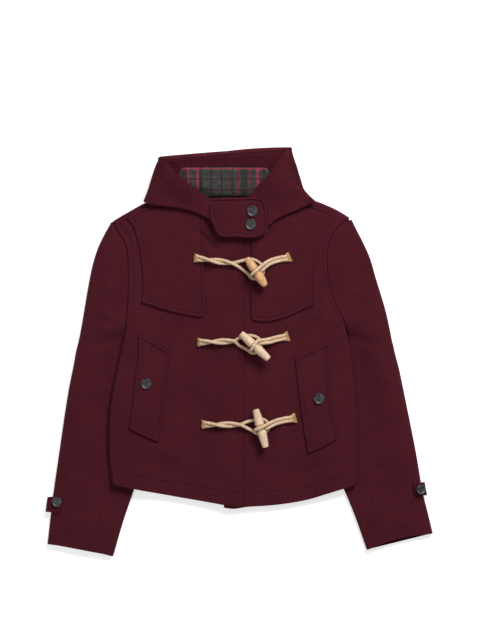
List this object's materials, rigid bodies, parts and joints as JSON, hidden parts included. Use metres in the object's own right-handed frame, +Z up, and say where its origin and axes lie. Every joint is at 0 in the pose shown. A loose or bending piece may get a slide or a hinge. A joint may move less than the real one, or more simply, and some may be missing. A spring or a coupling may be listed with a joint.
{
  "type": "duffle coat",
  "caption": "Short hooded duffle coat in thick wool, laid out flat on its back, fastened with wooden toggles and cord loops, with chest yokes, pocket flaps and a throat tab.",
  "frame": {"origin": "centre of the bounding box's underside, on the surface that the coat lies on", "axes": "+X to the right of someone looking down on the coat's front, which is the wearer's left; +Y from hem to hood; +Z up from the surface, out of the coat's front"},
  "size_m": [0.7176, 0.7564, 0.0487],
  "materials": {
    "coat_cloth": "brushed thick wool, wine red, matt with a short nap",
    "check_lining": "woven wool check, grey green with pink and dark lines",
    "dark_patch": "plain black woven patch",
    "button": "dark grey horn-like plastic, satin",
    "tan_wood": "turned wood, tan, satin",
    "pale_wood": "turned wood, pale, satin",
    "jute": "twisted pale jute cord, matt"
  },
  "bodies": {
    "root": {"front_right": "coat_cloth", "front_left": "coat_cloth", "back": "coat_cloth", "sleeve_top_right": "coat_cloth", "sleeve_under_right": "coat_cloth", "sleeve_top_left": "coat_cloth", "sleeve_under_left": "coat_cloth", "yoke_right": "coat_cloth", "yoke_left": "coat_cloth", "pocket_flap_right": "coat_cloth", "pocket_flap_left": "coat_cloth", "hood_right": "coat_cloth", "hood_left": "coat_cloth", "hood_crown": "coat_cloth", "throat_tab": "coat_cloth", "cuff_tab_right": "coat_cloth", "cuff_tab_left": "coat_cloth", "neck_lining": "check_lining", "neck_patch": "dark_patch", "pocket_button_right": "button", "pocket_button_left": "button", "tab_button_upper": "button", "tab_button_lower": "button", "cuff_button_right": "button", "cuff_button_left": "button", "toggle_1": "tan_wood", "toggle_2": "pale_wood", "toggle_3": "pale_wood", "toggle_cord_1": "jute", "toggle_cord_2": "jute", "toggle_cord_3": "jute", "toggle_loop_1": "jute", "toggle_loop_2": "jute", "toggle_loop_3": "jute"}
  },
  "joints": []
}
